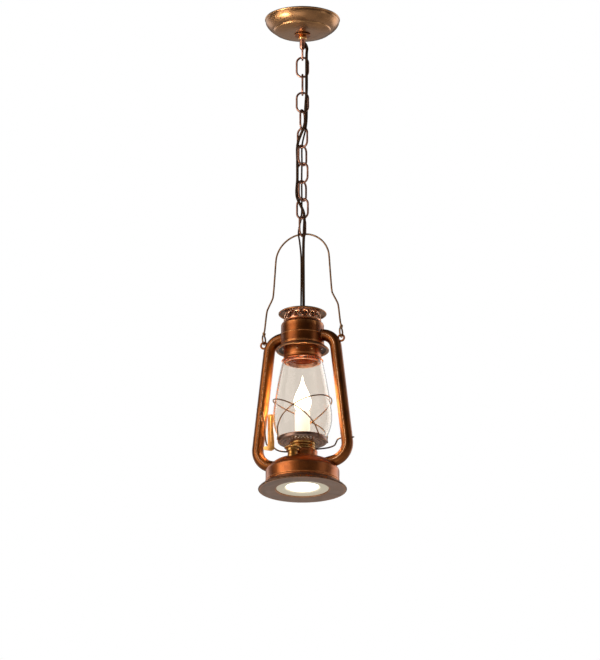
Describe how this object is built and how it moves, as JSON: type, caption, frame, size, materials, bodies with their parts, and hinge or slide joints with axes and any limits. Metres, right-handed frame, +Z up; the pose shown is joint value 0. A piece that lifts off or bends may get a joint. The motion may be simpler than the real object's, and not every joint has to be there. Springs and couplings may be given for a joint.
{
  "type": "hanging lantern",
  "caption": "Electrified barn lantern pendant: ceiling canopy, link chain with cord, wire bail, vented top, glass globe in a side-tube frame, and a tank base with a downlight.",
  "frame": {"origin": "centre of the ceiling plane, where the canopy's rim and the crossbar's top face meet the ceiling", "axes": "+Z up into the ceiling; the side tubes lie in the XZ plane; the filler cap faces -Y"},
  "size_m": [0.1783, 0.148, 0.8414],
  "materials": {
    "copper": "antique copper plate, satin",
    "dark_copper": "dark antique copper, satin",
    "brass": "aged brass, satin",
    "zinc_steel": "zinc plated",
    "green_screw": "green ground screw",
    "brown_cord": "matte sleeve",
    "brown_sleeve": "matte sleeve",
    "black_plastic": "matte",
    "ivory_card": "matte",
    "white_enamel": "satin enamel",
    "clear_glass": "clear, polished",
    "lit_bulb": "frosted and lit",
    "lit_lamp": "frosted lens, lit"
  },
  "bodies": {
    "ceiling_mount": {"crossbar": "zinc_steel", "threaded_nipple": "brass", "nipple_locknut": "zinc_steel", "ground_screw": "green_screw", "box_screw_left": "zinc_steel", "box_screw_right": "zinc_steel", "canopy": "copper", "check_ring": "dark_copper", "screw_collar": "brass", "ceiling_loop": "dark_copper"},
    "top_link": {"chain_link_01": "dark_copper"},
    "chain": {"chain_link_02": "dark_copper", "chain_link_03": "dark_copper", "chain_link_04": "dark_copper", "chain_link_05": "dark_copper", "chain_link_06": "dark_copper", "chain_link_07": "dark_copper", "chain_link_08": "dark_copper", "chain_link_09": "dark_copper", "chain_link_10": "dark_copper", "supply_cord": "brown_cord", "ground_wire": "brown_sleeve", "bail": "dark_copper"},
    "lantern": {"cap": "copper", "cord_bushing": "brass", "crown": "copper", "air_chamber": "copper", "chamber_skirt": "dark_copper", "left_tube": "copper", "right_tube": "copper", "left_lug": "copper", "right_lug": "copper", "lever_bracket": "brass", "lamp_cable": "black_plastic", "burner": "brass", "tank_neck": "dark_copper", "candle_sleeve": "ivory_card", "bulb_socket": "black_plastic", "tank": "copper", "base_flange": "copper", "filler_neck": "brass", "downlight_trim": "white_enamel", "lamp_holder": "black_plastic"},
    "globe_carrier": {"globe_collar": "copper", "globe_top_ring": "copper", "globe": "clear_glass", "gallery": "brass", "globe_seat": "brass", "guard_wire_a": "dark_copper", "guard_wire_b": "dark_copper"},
    "lever": {"lift_lever": "dark_copper"},
    "filler_lid": {"filler_cap": "brass"},
    "candle_bulb": {"bulb": "lit_bulb", "bulb_base": "brass"},
    "downlight": {"downlight_lamp": "lit_lamp"}
  },
  "joints": [
    {"name": "top_link_swing", "type": "hinge", "parent": "ceiling_mount", "child": "top_link", "pos_m": [0, 0, -0.07375], "axis": [-0.309, 0.9511, 0], "range_deg": [-20, 20], "deforming": ["supply_cord", "ground_wire"]},
    {"name": "chain_swing", "type": "hinge", "parent": "top_link", "child": "chain", "pos_m": [0, 0, -0.1057], "axis": [0.9511, 0.309, 0], "range_deg": [-20, 20], "deforming": ["supply_cord", "ground_wire"]},
    {"name": "lantern_tilt", "type": "hinge", "parent": "chain", "child": "lantern", "pos_m": [0, 0, -0.575], "axis": [1, 0, 0], "range_deg": [-25, 25], "deforming": ["supply_cord", "ground_wire"]},
    {"name": "globe_lift", "type": "slide", "parent": "lantern", "child": "globe_carrier", "axis": [0, 0, 1], "range_m": [0, 0.01]},
    {"name": "lever_turn", "type": "hinge", "parent": "lantern", "child": "lever", "pos_m": [0, 0, -0.757], "axis": [1, 0, 0], "range_deg": [0, 22]},
    {"name": "filler_cap_turn", "type": "hinge", "parent": "lantern", "child": "filler_lid", "pos_m": [-0.0043, -0.0399, -0.7776], "axis": [0, 0, 1], "range_deg": [0, 270]},
    {"name": "bulb_turn", "type": "hinge", "parent": "lantern", "child": "candle_bulb", "pos_m": [0, 0, -0.705], "axis": [0, 0, 1], "range_deg": [0, 270]},
    {"name": "downlight_turn", "type": "hinge", "parent": "lantern", "child": "downlight", "pos_m": [0, 0, -0.8374], "axis": [0, 0, -1], "range_deg": [0, 25]}
  ],
  "couplings": [
    {"joint": "lever_turn", "follows": "globe_lift", "rad_per_m": 38}
  ]
}
